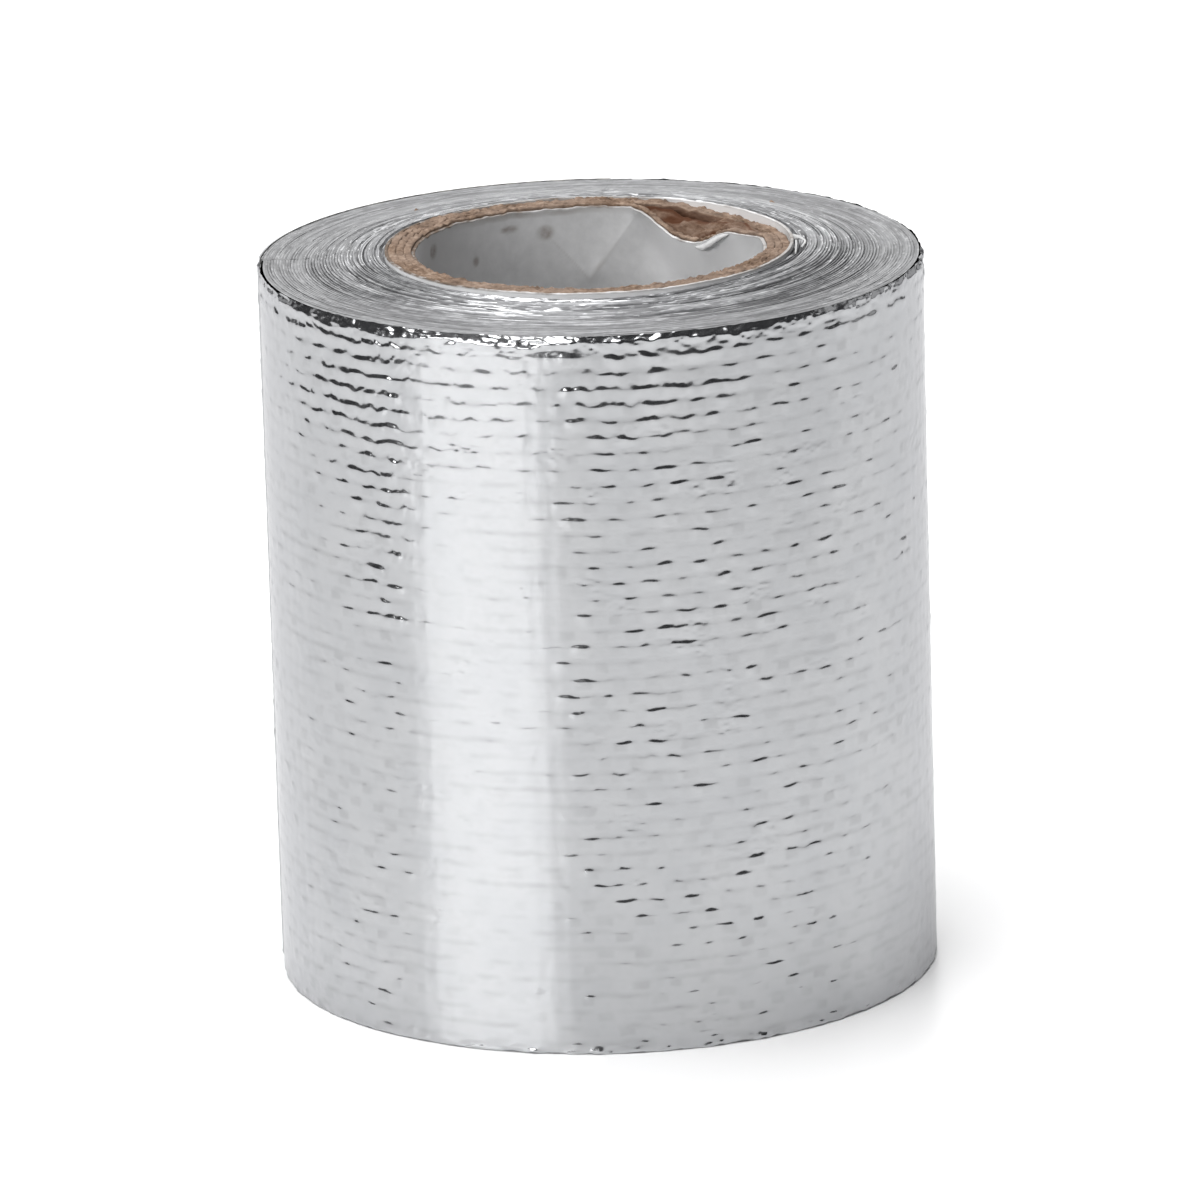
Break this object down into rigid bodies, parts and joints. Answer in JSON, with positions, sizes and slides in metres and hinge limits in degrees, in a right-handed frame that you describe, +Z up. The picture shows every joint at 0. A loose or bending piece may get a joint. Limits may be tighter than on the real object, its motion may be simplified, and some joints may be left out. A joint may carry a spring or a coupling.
{
  "type": "duct tape roll",
  "caption": "Roll of foil-faced, glass-cloth-reinforced tape wound on a paper core, with a free end that peels off the roll.",
  "frame": {"origin": "on the roll's axis, at the level of the surface that the roll stands on", "axes": "+Z up along the roll's axis; -Y towards the viewer of the reference picture; the tape's free end is at -X and peels away outwards there"},
  "size_m": [0.0456, 0.0455, 0.0508],
  "materials": {
    "white_liner_paper": "matte, slightly creased",
    "kraft_board": "matte, fibrous cut edge",
    "white_wrap_paper": "matte",
    "acrylic_adhesive": "tacky, glossy",
    "glass_cloth": "woven glass yarn",
    "laminating_film": "smooth film",
    "aluminium_foil": "bright foil, embossed by the weave"
  },
  "bodies": {
    "roll": {"core_inner_liner": "white_liner_paper", "core_board_ply_1": "kraft_board", "core_board_ply_2": "kraft_board", "core_board_ply_3": "kraft_board", "core_outer_wrap": "white_wrap_paper", "wound_adhesive": "acrylic_adhesive", "wound_glass_cloth": "glass_cloth", "wound_laminating_film": "laminating_film", "wound_foil": "aluminium_foil"},
    "end_1": {"end_1_adhesive": "acrylic_adhesive", "end_1_glass_cloth": "glass_cloth", "end_1_laminating_film": "laminating_film", "end_1_foil": "aluminium_foil"},
    "end_2": {"end_2_adhesive": "acrylic_adhesive", "end_2_glass_cloth": "glass_cloth", "end_2_laminating_film": "laminating_film", "end_2_foil": "aluminium_foil"},
    "end_3": {"end_3_adhesive": "acrylic_adhesive", "end_3_glass_cloth": "glass_cloth", "end_3_laminating_film": "laminating_film", "end_3_foil": "aluminium_foil"},
    "end_4": {"end_4_adhesive": "acrylic_adhesive", "end_4_glass_cloth": "glass_cloth", "end_4_laminating_film": "laminating_film", "end_4_foil": "aluminium_foil"},
    "end_5": {"end_5_adhesive": "acrylic_adhesive", "end_5_glass_cloth": "glass_cloth", "end_5_laminating_film": "laminating_film", "end_5_foil": "aluminium_foil"}
  },
  "joints": [
    {"name": "peel_1", "type": "hinge", "parent": "roll", "child": "end_1", "pos_m": [0.00159, 0.02278, 0.025], "axis": [0, 0, -1], "range_deg": [0, 20]},
    {"name": "peel_2", "type": "hinge", "parent": "end_1", "child": "end_2", "pos_m": [-0.00553, 0.02216, 0.025], "axis": [0, 0, -1], "range_deg": [0, 20]},
    {"name": "peel_3", "type": "hinge", "parent": "end_2", "child": "end_3", "pos_m": [-0.0121, 0.01937, 0.025], "axis": [0, 0, -1], "range_deg": [0, 20]},
    {"name": "peel_4", "type": "hinge", "parent": "end_3", "child": "end_4", "pos_m": [-0.0175, 0.01468, 0.025], "axis": [0, 0, -1], "range_deg": [0, 20]},
    {"name": "peel_5", "type": "hinge", "parent": "end_4", "child": "end_5", "pos_m": [-0.02118, 0.00856, 0.025], "axis": [0, 0, -1], "range_deg": [0, 20]}
  ],
  "couplings": [
    {"joint": "peel_2", "follows": "peel_1", "ratio": 1},
    {"joint": "peel_3", "follows": "peel_1", "ratio": 1},
    {"joint": "peel_4", "follows": "peel_1", "ratio": 1},
    {"joint": "peel_5", "follows": "peel_1", "ratio": 1}
  ]
}
